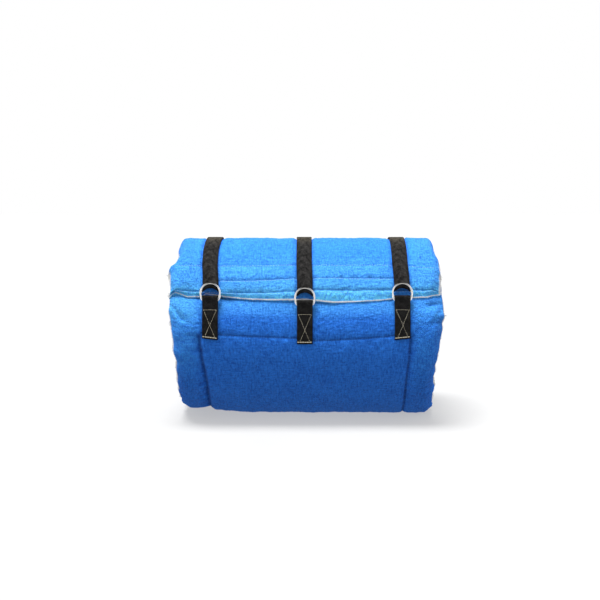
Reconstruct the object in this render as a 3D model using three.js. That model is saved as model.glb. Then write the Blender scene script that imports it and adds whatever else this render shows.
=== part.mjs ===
// Welding sleeve: a quilted insulating wrap round an open bore, held shut by three webbing straps.
// Each strap runs through a pair of D-rings and back under the outer one.
// Millimetres, +Z up. The axis of the bore runs along X and the closure faces -Y.
// The origin is on the surface that the sleeve lies on, below the middle of that axis.
// An angle is in degrees round the axis: 0 faces -Y, 90 is up, 180 is the back, -90 is down.
// Along the wrap, angles fall from the end that lies innermost, once round, to the edge of the flap.
import * as THREE from 'three';

// Driving dimensions of the wrap
const BORE_RADIUS = 121;
const HALF_LENGTH = 228.5;
const PAD = 34;
const RAW_EDGE = 3.5;
const LAYER_GAP = 0.8;
const REST_FLAT = 2;
const AXIS_HEIGHT = BORE_RADIUS + PAD - REST_FLAT;

// Where the wrap starts, where its seams bound the full pad, and where it ends
const UNDER_END = 44;
const PAD_SEAM = -1;
const FLAP_SEAM = 49.3 - 360;
const FLAP_EDGE = 24 - 360;

// Past the hidden end, the flap's lower face clears it and then drops to the bore
const UNDER_CLEAR = 0.5;
const UNDER_DROP = 3.5;

// Sewn lines: one on each side parts the padded middle from a cuff, and nears the middle underneath.
// The pad seam runs between them. Its width is in degrees.
const CUFF_SEAMS = { left: { front: 179, below: 168 }, right: { front: 175, below: 169.5 } };
const CUFF_DIP = { from: 0, to: 40, depth: 5, width: 6 };
const PAD_DIP = { depth: 2.6, width: 2.4 };

// Straps, tabs and rings
const STRAP_WIDTH = 26.4;
const WEB = 2;
const FIT_GAP = 0.4;
const STRAP_DENT = { top: 2.8, flap: 1.5, from: 275, to: 300 };
const DENT_MARGIN = 1;
const STRAP_REACH = 5.5;
const TAB_REACH = 2.5;
const STRAP_ANCHOR = 186;
const STRAP_TAIL = 118;
const TAB_SPAN = 27.3;
const TAB_HEAD = 5;
const TAB_TO_FLAP = 0.4;
const FOLD_LEAD = 3;
const TAIL_LEAD = 10;
const WIRE = 1.7;
const RING_RADIUS = 16.3;
const RING_BAR_DROP = 9.6;
const RING_CORNER = 4;
const RING_STAGGER = 1.2;
const WIRE_CLEAR = WIRE + FIT_GAP + WEB / 2;
const TAB_LOOP = 2 * WIRE + 2 * FIT_GAP + WEB / 2;
const CLOSURES = [
  { name: 'left', x: -160.3 },
  { name: 'middle', x: -2 },
  { name: 'right', x: 161.3 },
];
const [LEFT_STRAP, MIDDLE_STRAP, RIGHT_STRAP] = CLOSURES;

// Height of the outer cloth above the bore, from the hidden end to the full pad, without its seams
const LOWER_MARGIN = [
  { angle: UNDER_END, height: 5.5 },
  { angle: 38, height: 10.5 },
  { angle: 30, height: 18.5 },
  { angle: 24, height: 25.4 },
  { angle: 19, height: 28 },
  { angle: 14, height: 29.8 },
  { angle: 8, height: 31 },
  { angle: 2, height: 31.5 },
  { angle: PAD_SEAM, height: 31.7 },
  { angle: -4, height: 32.2 },
  { angle: -9, height: 33.2 },
  { angle: -15, height: PAD },
];
// The same over the flap: pad seam, two rows of stitching and the raw edge
const FLAP_MARGIN = [
  { angle: -303, height: PAD },
  { angle: -308, height: 33.4 },
  { angle: FLAP_SEAM, height: 31 },
  { angle: -313, height: 32.6 },
  { angle: -316, height: 33.1 },
  { angle: -319.5, height: 32.8 },
  { angle: -321.7, height: 30.8 },
  { angle: -324, height: 32.5 },
  { angle: -328, height: 32.5 },
  { angle: -331.2, height: 30.4 },
  { angle: -333, height: 31.2 },
  { angle: FLAP_EDGE, height: 30 },
];
// Both ends round the wrap: how far each lies from the middle, and over what length the pad rounds off
const ENDS = [
  { angle: UNDER_END, left: 230, right: 229, leftRound: 22, rightRound: 22 },
  { angle: 14, left: 233, right: 234, leftRound: 26, rightRound: 24 },
  { angle: -12, left: 225, right: 227, leftRound: 26, rightRound: 24 },
  { angle: -30, left: 221, right: 218, leftRound: 24, rightRound: 22 },
  { angle: -45, left: 222, right: 221, leftRound: 24, rightRound: 20 },
  { angle: -62, left: 220, right: 221, leftRound: 24, rightRound: 20 },
  { angle: -90, left: 221, right: 224, leftRound: 20, rightRound: 15 },
  { angle: -180, left: 225, right: 226, leftRound: 18, rightRound: 18 },
  { angle: -262, left: 223, right: 226, leftRound: 15, rightRound: 12 },
  { angle: -292, left: 222, right: 225, leftRound: 16, rightRound: 13 },
  { angle: -299, left: 234, right: 225, leftRound: 27, rightRound: 14 },
  { angle: -325, left: 233, right: 227, leftRound: 24, rightRound: 16 },
  { angle: FLAP_EDGE, left: 231, right: 228, leftRound: 20, rightRound: 16 },
];
// The pad seam and the flap's edge bow: how far they rise from their middle to the ends
const BOWS = [
  { angle: 23, rise: 0 },
  { angle: 6, rise: 4.5 },
  { angle: PAD_SEAM, rise: 6.2 },
  { angle: -15, rise: 3.5 },
  { angle: -45, rise: 0 },
  { angle: 38 - 360, rise: 0 },
  { angle: FLAP_EDGE, rise: 5.3 },
];
const BOW_POWER = 1.5;
const BOW_PASSES = 6;
// The left end is drawn in more tightly underneath
const LEFT_PULL = { depth: 8, angle: -90, reach: 60, from: 90, to: 200 };

// Stations along the wrap between the two margins, and columns across it
const PAD_STEP = 6;
const END_COLUMNS = [0, 0.1, 0.3, 0.62, 1];
const SEAM_COLUMNS = [18, 9, 4, 0, -6];
const STRAP_OUTER_COLUMN = 13.6;
const STRAP_INNER_COLUMNS = [-13.6, -18];
const MIDDLE_COLUMNS = [80, 18, 13.6];
const BORE_COLUMNS = 5;
const STRAP_COLUMNS = 5;
const STRAP_STEPS = 26;
const TAIL_STEPS = 15;
const TAB_STEPS = 8;
const FOLD_STEPS = 6;
const RING_STEPS = 32;
const WIRE_SIDES = 6;

const CLOTH = { color: 0x2f86e0, roughness: 0.92, metalness: 0 };
const WEBBING = { color: 0x262626, roughness: 0.85, metalness: 0 };
const STEEL = { color: 0xd2d2d0, roughness: 0.22, metalness: 1 };

// Evenly spaced values from one to another, both included
function spread(from, to, count) {
  const shares = Array.from({ length: count }, (_, i) => i / (count - 1));
  return shares.map((share) => THREE.MathUtils.lerp(from, to, share));
}

const HALF_TURN = spread(-Math.PI / 2, Math.PI / 2, FOLD_STEPS + 1);

// Value of a column at an angle, between the rows of a table whose angles fall.
// Past either end of the table it is that end's value.
function lookUp(table, angle, column) {
  const below = table.findIndex((row) => row.angle <= angle);
  if (below <= 0) return table.at(below)[column];
  const [high, low] = [table[below - 1], table[below]];
  const share = (high.angle - angle) / (high.angle - low.angle);
  return THREE.MathUtils.lerp(high[column], low[column], share);
}

// A point of the cross-section, as y and z, at an angle and a distance from the axis
function atAngle(angle, radius) {
  const turn = THREE.MathUtils.degToRad(angle);
  return new THREE.Vector2(-radius * Math.cos(turn), AXIS_HEIGHT + radius * Math.sin(turn));
}

const sideOf = (x) => (x < 0 ? 'left' : 'right');

function endOf(angle, x) {
  const side = sideOf(x);
  return { reach: lookUp(ENDS, angle, side), round: lookUp(ENDS, angle, side + 'Round') };
}

// Share of the full thickness at x: 1 in the middle, falling on a quarter ellipse to 0 at the ends
function endShare(angle, x) {
  const { reach, round } = endOf(angle, x);
  const inside = THREE.MathUtils.clamp((reach - Math.abs(x)) / round, 0, 1);
  return Math.sqrt(1 - (1 - inside) ** 2);
}

const bell = (offset, width) => Math.exp(-((offset / width) ** 2));

function cuffSeam(angle, x) {
  const { front, below } = CUFF_SEAMS[sideOf(x)];
  const share = THREE.MathUtils.smoothstep(-angle, CUFF_DIP.from, CUFF_DIP.to);
  return THREE.MathUtils.lerp(front, below, share);
}

// How far the seams, the straps and the tight left end draw the padded cloth in
function drawnIn(angle, x) {
  const fromCuff = Math.abs(x) - cuffSeam(angle, x);
  const padded = angle < PAD_SEAM && angle > FLAP_SEAM;
  const cuffDip = padded ? CUFF_DIP.depth * bell(fromCuff, CUFF_DIP.width) : 0;
  const padDip = fromCuff <= 0 ? PAD_DIP.depth * bell(angle - PAD_SEAM, PAD_DIP.width) : 0;
  const underStrap = CLOSURES.some((strap) => Math.abs(x - strap.x) < STRAP_WIDTH / 2 + DENT_MARGIN);
  const strapped = underStrap && angle <= STRAP_ANCHOR - 360;
  const onFlap = THREE.MathUtils.smoothstep(-angle, STRAP_DENT.from, STRAP_DENT.to);
  const dent = strapped ? THREE.MathUtils.lerp(STRAP_DENT.top, STRAP_DENT.flap, onFlap) : 0;
  const near = bell(angle - LEFT_PULL.angle, LEFT_PULL.reach);
  const pull = LEFT_PULL.depth * near * THREE.MathUtils.smoothstep(-x, LEFT_PULL.from, LEFT_PULL.to);
  return Math.max(cuffDip, padDip) + pull + dent;
}

// Heights of the wrap's two faces above the bore. The flap's lower face rides on the hidden end.
function lowerTop(angle, x) {
  const full = lookUp(LOWER_MARGIN, angle, 'height') - RAW_EDGE - drawnIn(angle, x);
  return RAW_EDGE + full * endShare(angle, x);
}

function flapUnderside(angle, x) {
  const over = bowed(angle, x) + 360;
  const onTop = lowerTop(Math.min(over, UNDER_END), x) + LAYER_GAP;
  const dropped = (over - UNDER_END - UNDER_CLEAR) / UNDER_DROP;
  return onTop * (1 - THREE.MathUtils.clamp(dropped, 0, 1));
}

function faces(angle, x) {
  if (angle > FLAP_MARGIN[0].angle) return { under: 0, top: lowerTop(angle, x) };
  const under = flapUnderside(angle, x);
  const thick = lookUp(FLAP_MARGIN, angle, 'height') - flapUnderside(angle, 0) - drawnIn(angle, x);
  return { under, top: under + RAW_EDGE + Math.max(thick - RAW_EDGE, 0) * endShare(angle, x) };
}

// A station of the wrap lies at a bowed angle. outerRadius looks up the station that lies at an angle.
function bowed(angle, x) {
  return angle + lookUp(BOWS, angle, 'rise') * Math.abs(x / HALF_LENGTH) ** BOW_POWER;
}

function outerRadius(angle, x) {
  let station = angle;
  for (let pass = 0; pass < BOW_PASSES; pass++) station += angle - bowed(station, x);
  return BORE_RADIUS + faces(station, x).top;
}

// Webbing lies flat across its width and bridges hollows within its reach along its length
function seatRadius(angle, x, reach) {
  const across = [-1, -0.5, 0, 0.5, 1].map((share) => x + share * STRAP_WIDTH / 2);
  const along = [-1, -0.6, -0.2, 0.2, 0.6, 1].map((share) => angle + share * reach);
  return Math.max(...along.flatMap((a) => across.map((column) => outerRadius(a, column))));
}

// One solid through a row of closed loops, each an upper row of points and then a lower row backwards
function loft(loops) {
  const count = loops[0].length;
  const index = [];
  for (let i = 0; i + 1 < loops.length; i++) {
    for (let j = 0; j < count; j++) {
      const [a, b] = [i * count + j, i * count + ((j + 1) % count)];
      index.push(a, b, b + count, a, b + count, a + count);
    }
  }
  const cap = (loop, first, reversed) => {
    const up = loop[0].clone().sub(loop[count - 1]).normalize();
    const flat = loop.map((p) => new THREE.Vector2(p.x, p.dot(up)));
    const forward = THREE.ShapeUtils.area(flat) > 0 !== reversed;
    for (const [a, b, c] of THREE.ShapeUtils.triangulateShape(flat, [])) {
      const left = THREE.ShapeUtils.area([flat[a], flat[b], flat[c]]) > 0 === forward;
      index.push(first + a, first + (left ? b : c), first + (left ? c : b));
    }
  };
  cap(loops[0], 0, true);
  cap(loops.at(-1), (loops.length - 1) * count, false);
  const geometry = new THREE.BufferGeometry().setFromPoints(loops.flat());
  geometry.setIndex(signedVolume(loops.flat(), index) < 0 ? index.reverse() : index);
  return geometry;
}

function signedVolume(points, index) {
  let volume = 0;
  for (let i = 0; i < index.length; i += 3) {
    const [a, b, c] = index.slice(i, i + 3).map((k) => points[k]);
    volume += a.dot(b.clone().cross(c));
  }
  return volume;
}

// The columns on one side, close together where the end, the seam and the straps shape the cloth.
// The one at a strap's outer edge keeps its place beside the seam, which the strap covers at the back.
function sideColumns(angle, strapX) {
  const side = Math.sign(strapX);
  const { reach, round } = endOf(angle, strapX);
  const fromEnd = END_COLUMNS.map((share) => reach - share * round);
  const outerEdge = Math.abs(strapX) + STRAP_OUTER_COLUMN - CUFF_SEAMS[sideOf(strapX)].below;
  const bySeam = [...SEAM_COLUMNS, outerEdge].map((offset) => cuffSeam(angle, strapX) + offset);
  const byStrap = STRAP_INNER_COLUMNS.map((offset) => Math.abs(strapX) + offset);
  const byMiddle = MIDDLE_COLUMNS.map((offset) => MIDDLE_STRAP.x + side * offset);
  return [...[...fromEnd, ...bySeam, ...byStrap].map((x) => side * x), ...byMiddle];
}

// The wrap: one quilted blanket with an open bore, pressed flat where it lies
function wrapGeometry() {
  const lower = LOWER_MARGIN.map((row) => row.angle);
  const flap = FLAP_MARGIN.map((row) => row.angle);
  const padStations = Math.round((lower.at(-1) - flap[0]) / PAD_STEP) + 1;
  const pad = spread(lower.at(-1), flap[0], padStations).slice(1, -1);
  const angles = [...lower, ...pad, ...flap];
  const place = (angle, x, height) => {
    const p = atAngle(bowed(angle, x), BORE_RADIUS + height);
    return new THREE.Vector3(x, p.x, Math.max(p.y, 0));
  };
  return loft(angles.map((angle) => {
    const sides = [LEFT_STRAP, RIGHT_STRAP].flatMap((strap) => sideColumns(angle, strap.x));
    const columns = [...sides, MIDDLE_STRAP.x].sort((a, b) => a - b);
    const top = columns.map((x) => place(angle, x, faces(angle, x).top));
    const boreColumns = spread(columns.at(-1), columns[0], BORE_COLUMNS);
    const under = boreColumns.map((x) => place(angle, x, faces(angle, x).under));
    return [...top, ...under];
  }));
}

// A band of webbing along paths in the cross-section, one path for each column across its width
function bandGeometry(columns, pathOf) {
  const paths = columns.map(pathOf);
  return loft(paths[0].map((_, i) => {
    const edge = (side) => columns.map((x, k) => {
      const path = paths[k];
      const [before, after] = [path[Math.max(i - 1, 0)], path[Math.min(i + 1, path.length - 1)]];
      const along = after.clone().sub(before).normalize();
      const p = path[i].clone().addScaledVector(new THREE.Vector2(-along.y, along.x), side * WEB / 2);
      return new THREE.Vector3(x, p.x, p.y);
    });
    return [...edge(1), ...edge(-1).reverse()];
  }));
}

// A bar's place, the ring's direction up the sleeve, and its normal away from the axis
function ringFrame(bar, arcRadius) {
  const out = bar.clone().sub(new THREE.Vector2(0, AXIS_HEIGHT));
  const barRadius = out.length();
  out.normalize();
  const height = RING_BAR_DROP + RING_RADIUS;
  const lean = (arcRadius ** 2 - barRadius ** 2 - height ** 2) / (2 * barRadius * height);
  const level = new THREE.Vector2(out.y, -out.x);
  const up = level.multiplyScalar(Math.sqrt(1 - lean ** 2)).addScaledVector(out, lean);
  return { bar, up, normal: new THREE.Vector2(-up.y, up.x) };
}

// Point of a ring's arc at an offset from its middle, in the cross-section
function arcPoint(ring, offset) {
  const rise = RING_BAR_DROP + Math.sqrt(RING_RADIUS ** 2 - offset ** 2);
  return ring.bar.clone().addScaledVector(ring.up, rise);
}

// The pair of rings in one tab: the inner one lies on the strap, the outer one holds the strap's tail down
function ringPair(x) {
  const edge = bowed(FLAP_EDGE, x) + 360 - TAB_TO_FLAP;
  const loopTop = RING_STAGGER + TAB_LOOP + WEB / 2;
  const angle = edge - THREE.MathUtils.radToDeg(loopTop / (BORE_RADIUS + PAD));
  const seat = seatRadius(angle - TAB_HEAD, x, TAB_REACH) + FIT_GAP + WEB + FIT_GAP + WIRE;
  const up = atAngle(angle + 90, 1).sub(new THREE.Vector2(0, AXIS_HEIGHT));
  const innerBar = atAngle(angle, seat).addScaledVector(up, -RING_STAGGER);
  const outerBar = atAngle(angle, seat + 2 * WIRE + FIT_GAP).addScaledVector(up, RING_STAGGER);
  const arcAngle = angle + THREE.MathUtils.radToDeg((RING_BAR_DROP + RING_RADIUS) / seat);
  const innerArc = seatRadius(arcAngle - 360, x, STRAP_REACH) + FIT_GAP + WEB + FIT_GAP + WIRE;
  return {
    edge,
    middle: innerBar.clone().add(outerBar).multiplyScalar(0.5),
    inner: ringFrame(innerBar, innerArc),
    outer: ringFrame(outerBar, innerArc + 2 * WIRE_CLEAR),
  };
}

function ringGeometry() {
  const [cornerX, cornerY] = [
    Math.sqrt((RING_RADIUS - RING_CORNER) ** 2 - (RING_CORNER - RING_BAR_DROP) ** 2),
    RING_CORNER - RING_BAR_DROP,
  ];
  const tangent = Math.atan2(cornerY, cornerX);
  const outline = new THREE.Path()
    .absarc(0, 0, RING_RADIUS, tangent, Math.PI - tangent)
    .absarc(-cornerX, cornerY, RING_CORNER, Math.PI - tangent, 1.5 * Math.PI)
    .absarc(cornerX, cornerY, RING_CORNER, 1.5 * Math.PI, 2 * Math.PI + tangent);
  const line = new THREE.CatmullRomCurve3(
    outline.getSpacedPoints(RING_STEPS).slice(0, -1).map((p) => new THREE.Vector3(p.x, p.y, 0)),
    true,
  );
  return new THREE.TubeGeometry(line, RING_STEPS, WIRE, WIRE_SIDES, true);
}

// The tab: webbing sewn below the flap, folded round both bars and back down over itself
function tabPath(x, pair) {
  const out = pair.middle.clone().sub(new THREE.Vector2(0, AXIS_HEIGHT)).normalize();
  const up = new THREE.Vector2(out.y, -out.x);
  const barAngle = THREE.MathUtils.radToDeg(Math.atan2(out.y, -out.x));
  const foot = pair.edge - TAB_SPAN;
  const head = barAngle - TAB_HEAD;
  const runs = spread(foot, head, TAB_STEPS);
  const layer = (angle, lift) => atAngle(angle, seatRadius(angle, x, TAB_REACH) + FIT_GAP + WEB / 2 + lift);
  const fold = HALF_TURN.map((turn) => {
    return pair.middle.clone()
      .addScaledVector(up, RING_STAGGER + TAB_LOOP * Math.cos(turn))
      .addScaledVector(out, TAB_LOOP * Math.sin(turn));
  });
  const lower = runs.map((angle) => layer(angle, 0));
  const upper = runs.map((angle) => layer(angle, WEB + FIT_GAP)).reverse();
  return [...lower, ...fold, ...upper];
}

// The strap: sewn at the back, over the top, under both rings, round the inner ring's arc,
// out under the outer ring, and back up over itself
function strapPath(x, offset, pair) {
  const arc = arcPoint(pair.inner, offset);
  const centre = arc.clone().sub(new THREE.Vector2(0, AXIS_HEIGHT));
  const arcAngle = THREE.MathUtils.radToDeg(Math.atan2(centre.y, -centre.x));
  const slant = Math.sqrt(1 - (offset / RING_RADIUS) ** 2);
  const length = WIRE_CLEAR + WIRE / slant - WIRE;
  const layer = (angle, lift) => {
    const seat = seatRadius(angle - 360, x, STRAP_REACH);
    return atAngle(angle, seat + FIT_GAP + WEB / 2 + lift);
  };
  const fold = HALF_TURN.map((turn) => {
    return arc.clone()
      .addScaledVector(pair.inner.up, -length * Math.cos(turn))
      .addScaledVector(pair.inner.normal, WIRE_CLEAR * Math.sin(turn));
  });
  return [
    ...spread(STRAP_ANCHOR, arcAngle + FOLD_LEAD, STRAP_STEPS).map((angle) => layer(angle, 0)),
    ...fold,
    ...spread(arcAngle + TAIL_LEAD, STRAP_TAIL, TAIL_STEPS).map((angle) => layer(angle, WEB + FIT_GAP)),
  ];
}

function mesh(name, geometry, look) {
  const made = new THREE.Mesh(geometry, new THREE.MeshStandardMaterial(look));
  made.name = name;
  return made;
}

function closure({ name, x }) {
  const group = new THREE.Group();
  const pair = ringPair(x);
  const edges = [x - STRAP_WIDTH / 2, x + STRAP_WIDTH / 2];
  const columns = spread(...edges, STRAP_COLUMNS);
  const strap = bandGeometry(columns, (column) => strapPath(x, column - x, pair));
  const tab = bandGeometry(edges, () => tabPath(x, pair));
  group.add(mesh(`strap_${name}`, strap, WEBBING), mesh(`tab_${name}`, tab, WEBBING));
  for (const layer of ['inner', 'outer']) {
    const { bar, up } = pair[layer];
    const ring = mesh(`d_ring_${name}_${layer}`, ringGeometry(), STEEL);
    const middle = bar.clone().addScaledVector(up, RING_BAR_DROP);
    ring.position.set(x, middle.x, middle.y);
    ring.rotation.x = Math.atan2(up.y, up.x);
    group.add(ring);
  }
  return group;
}

const sleeve = new THREE.Group();
sleeve.add(mesh('insulated_wrap', wrapGeometry(), CLOTH));
sleeve.add(...CLOSURES.map(closure));

export default sleeve;
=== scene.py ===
"""Looks of a welding sleeve: quilted blue cloth, webbing straps and wire D-rings, built round the CAD frame.

Sizes are in millimetres and become metres where a mesh is made. An angle is in degrees round the axis of the
bore: 0 faces -Y, 90 is up, 180 is the back. Along the wrap, angles fall from its hidden end to the flap's
edge. An angle on the wrap without its bows and strays is a station.
"""
import math
from collections import namedtuple

import bpy
import numpy as np
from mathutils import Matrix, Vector


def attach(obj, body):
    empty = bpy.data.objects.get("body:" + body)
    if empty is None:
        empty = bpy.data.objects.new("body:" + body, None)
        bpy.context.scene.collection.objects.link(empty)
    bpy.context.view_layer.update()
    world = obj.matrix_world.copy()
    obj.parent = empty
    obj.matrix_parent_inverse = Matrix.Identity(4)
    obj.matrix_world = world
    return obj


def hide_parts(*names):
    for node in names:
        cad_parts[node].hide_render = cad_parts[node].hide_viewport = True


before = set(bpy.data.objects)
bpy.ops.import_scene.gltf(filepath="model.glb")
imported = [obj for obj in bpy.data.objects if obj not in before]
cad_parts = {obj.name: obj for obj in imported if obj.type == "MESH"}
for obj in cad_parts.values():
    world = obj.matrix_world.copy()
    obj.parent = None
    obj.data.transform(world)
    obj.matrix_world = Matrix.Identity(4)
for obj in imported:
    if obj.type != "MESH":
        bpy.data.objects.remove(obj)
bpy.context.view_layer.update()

METRE = 0.001

# Columns of the tables that hold values for both ends of the wrap
LEFT, RIGHT, LEFT_ROUND, RIGHT_ROUND = 1, 2, 3, 4

# Seeded unevenness: its size, about how long its waves are, and its seed
Uneven = namedtuple("Uneven", "size length seed")
RIPPLE_WAVES = 14
RIPPLE_SPREAD = (0.7, 1.5)

# The wrap, with the sizes of its CAD solid, but thinner at the flap's edge and closer below the flap
BORE = 121.0
PAD = 34.0
RAW_EDGE = 3.5
FLAP_RAW_EDGE = 1.7
LAYER_GAP = 0.5
AXIS_HEIGHT = 153.0
AXIS = np.array([0, AXIS_HEIGHT])
HALF_LENGTH = 228.5
UNDER_END = 44.0
PAD_SEAM = -1.0
FLAP_SEAM = 49.3 - 360
SHORT_ROW = 38.3 - 360
LONG_ROW = 28.8 - 360
FLAP_START = -303.0
FLAP_EDGE = 24.0 - 360
UNDER_CLEAR = 0.5
UNDER_DROP = 3.5
# Millimetres of the outer arc to a degree
DEGREE = math.radians(1) * (BORE + PAD)

# Outer cloth above the bore, without its seams: angle, height
LOWER_HEIGHTS = (
    (UNDER_END, 5.5), (38, 10.5), (30, 18.5), (24, 25.4), (19, 28), (14, 29.8), (8, 31), (PAD_SEAM, 31.7),
    (-9, 33.2), (-15, PAD),
)
FLAP_HEIGHTS = (
    (FLAP_START, PAD), (FLAP_SEAM, 33.5), (SHORT_ROW, 33.1), (-328, 32.8), (LONG_ROW, 32.3),
    (-333.5, 32.0), (FLAP_EDGE, 28.4),
)
# Ends of the wrap: angle, distance from the middle on the left and right, length of the pad's rounding there
ENDS = (
    (UNDER_END, 230, 229, 22, 22), (14, 233, 234, 26, 24), (-12, 225, 227, 26, 24), (-30, 221, 218, 24, 22),
    (-45, 222, 221, 24, 20), (-62, 220, 221, 24, 20), (-90, 221, 224, 20, 15), (-180, 225, 226, 18, 18),
    (-262, 223, 226, 15, 12), (-292, 222, 224, 16, 13), (-301, 222, 229, 17, 15), (-305, 227, 231, 12, 16),
    (-309, 232, 231, 10, 16), (-316, 231, 230, 11, 16), (-325, 231, 229, 14, 16),
    (FLAP_EDGE, 231, 226, 14, 16),
)
END_EASE = 5
LEFT_WANDER = Uneven(0.9, 34, seed=21)
RIGHT_WANDER = Uneven(0.6, 30, seed=22)
# An ear of cloth sticks out of the left end of the flap seam
EAR_ANGLE = -311.2
EAR_REACH = 5.0
EAR_SPREAD = 2.6
# The outer layer sticks out past the inner ones at the bottom of the ends: side, how far
TORN_ENDS = ((-1, 2.0), (1, 4.5))
TORN_ANGLE = -84.0
TORN_SPREAD = 26.0

# How far stations rise from the middle to the ends: angle, degrees
BOWS = ((23, 0), (6, 4.5), (PAD_SEAM, 6.2), (-15, 3.5), (-45, 0), (-322, 0), (FLAP_EDGE, 5.3))
BOW_POWER = 1.5
BOW_PASSES = 6
# How far the sewn lines and the flap's edge stray from their bows, in degrees:
# place along the axis, pad seam, flap seam, short row, long row, edge
STRAYS = (
    (-231, 0, 0, -0.8, -1.2, -0.2), (-222, 0, 0, -0.8, -1.1, 2.2), (-200, 0, 0, -0.8, -0.9, -1.0),
    (-175, 0, -0.1, -0.8, -1.1, -0.3), (-169, 0, -0.2, -0.8, -1.2, 2.1), (-151, 0, -0.2, -0.8, -1.2, 1.7),
    (-144, 0, -0.2, -0.8, -1.3, 0.8), (-90, 0.2, -0.2, -0.7, -0.6, -0.4), (-20, 0.6, 0.2, 0.9, 1.0, 0.1),
    (-2, -0.3, 0.2, 1.0, 1.5, 0.6), (15, -1.1, 0.3, 1.2, 2.0, -0.2), (45, -1.2, 0.3, 1.3, 1.9, -1.8),
    (120, -1.1, 0.3, 1.0, 1.1, -1.8), (160, -0.8, 0, 1.2, 0.3, -0.8), (203, -0.3, -1.7, 1.2, -0.6, -1.6),
    (230, 0, -1.7, 1.2, -0.7, 1.2),
)
STRAY_LINES = (PAD_SEAM, FLAP_SEAM, SHORT_ROW, LONG_ROW, FLAP_EDGE)
STRAY_RESTS = (16, -20, FLAP_START)

# Sewn lines along the axis: angle, depth, width of the dip above and below the line,
# how far they run each way, and the seed of their puckers
Seam = namedtuple("Seam", "angle depth above below half seed")
SEAMS = (
    Seam(PAD_SEAM, 2.4, 2.2, 1.6, 177, seed=999),
    Seam(FLAP_SEAM, 2.4, 2.4, 1.6, 226, seed=689),
    Seam(SHORT_ROW, 3.2, 3.6, 1.5, 150, seed=678),
    Seam(LONG_ROW, 2.6, 3.0, 1.3, 226, seed=668),
)
SEAM_FADE = 6
SEAM_SHOULDER = 15
# Cuff seams: side, place at the front and below, depth, width of the roll on the cuff and the step on the pad
CuffSeam = namedtuple("CuffSeam", "side front below depth roll step")
CUFF_SEAMS = (
    CuffSeam(-1, 179, 168, 11.0, 9.0, 2.4),
    CuffSeam(1, 175, 169.5, 7.0, 3.6, 2.0),
)
CUFF_SEAM_TURN = 40.0
CUFF_SEAM_FADE = (130, 190)
CUFF_SEAM_LOSS = 0.85
CUFF_PUCKER = Uneven(0.2, 14, seed=31)
PAD_FADE = 3
# Folds pressed in by the ends' pull, from one station and place to another
Fold = namedtuple("Fold", "station0 x0 station1 x1 depth width")
FOLDS = (
    Fold(21, -227, 8, -208, 6.0, 3.2),
    Fold(18, 229, 4, 211, 3.5, 3.2),
    Fold(23, 228, 20, 208, 8.0, 6.0),
    Fold(-313, -228, -322, -214, 2.0, 4.0),
    Fold(-6, -214, -24, -205, 1.6, 5.0),
)
HEM_INSET = 9.0
HEM_DEPTH = 1.1
HEM_WIDTH = 2.2
HEM_GATHER = Uneven(0.5, 8, seed=41)
LUMPS = (Uneven(0.4, 90, seed=1), Uneven(0.2, 26, seed=2), Uneven(0.1, 9, seed=3))
LUMP_STRETCH = 1.6
LEFT_PULL_DEPTH = 8.0
LEFT_PULL_ANGLE = -90.0
LEFT_PULL_REACH = 60.0
LEFT_PULL_FROM = 90.0
LEFT_PULL_TO = 200.0

# Webbing and rings
WEB_WIDTH = 26.4
WEB = 1.9
FIT_GAP = 0.4
STRAP_DENT_TOP = 2.8
STRAP_DENT_FLAP = 1.5
DENT_FADE = (275, 300)
DENT_SHOULDER = 6.0
STRAP_REACH = 5.5
STRAP_ANCHOR = 186.0
STRAP_TAIL = 118.0
FOLD_LEAD = 3.0
TAIL_LEAD = 10.0
TAB_REACH = 2.5
TAB_SPAN = 27.3
TAB_HEAD = 5.0
TAB_TO_FLAP = 0.4
WIRE = 1.7
WIRE_SHOWN = 1.5
RING_RADIUS = 16.3
RING_BAR_DROP = 9.6
RING_CORNER = 4.0
RING_STAGGER = 1.2
HALF_TURN = np.linspace(-math.pi / 2, math.pi / 2, 15)
# Closures: name, place along the axis, tilt of the tab's lower end in degrees,
# how far the strap has slid along the axis on the flap and on top
Closure = namedtuple("Closure", "name x tilt on_flap on_top")
CLOSURES = (
    Closure("left", -160.3, 0.5, -2.8, 0.0),
    Closure("middle", -2.0, 0.0, -1.2, -1.2),
    Closure("right", 161.3, -0.45, -2.0, -1.8),
)
SLIDE_ANGLES = (36, 50, 62, 88)

# Grid of the wrap: runs of columns from the middle to an end and of stations, each as start, end and step
FLAT_HALF = 195.0
NOMINAL_HALF = 230.0
COLUMN_RUNS = ((0, 140, 2.5), (140, 160, 2.0), (160, 186, 1.1), (186, FLAT_HALF, 2.2))
BORE_COLUMNS = 18
STATION_RUNS = ((UNDER_END, 26, -2), (26, -14, -0.6), (-14, -100, -1.0), (-100, -298, -2.6))
# Rows past the last station turn the flap's edge over from its outer face to its inner one
LIP_TURNS = np.radians([35, 65, 88])
LIP_REACH = 0.6

# Cloth simulation of the outer cloth on a coarse grid
SIM_STATIONS = np.arange(19, FLAP_EDGE, -2.0)
SIM_COLUMNS = np.linspace(-NOMINAL_HALF, NOMINAL_HALF, 93)
SIM_FRAMES = 20
SIM_PRESSURE = 2.0
SIM_EXTRA_CLOTH = 0.004
SIM_CAP = 4.0
HELD_EVERYWHERE = 0.35
HELD_AT_SEAMS = 5

# Width over which white yarn shows at the ends: angle, left, right
END_RIMS = (
    (UNDER_END, 2.0, 2.0), (14, 2.4, 2.6), (0, 2.6, 2.4), (-8, 4.6, 2.0), (-45, 4.8, 1.8), (-56, 1.4, 1.4),
    (-180, 1.6, 1.6), (-290, 2.4, 4.0), (-303, 5.4, 7.5), (-330, 5.0, 7.5), (FLAP_EDGE, 4.0, 5.0),
)
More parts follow.
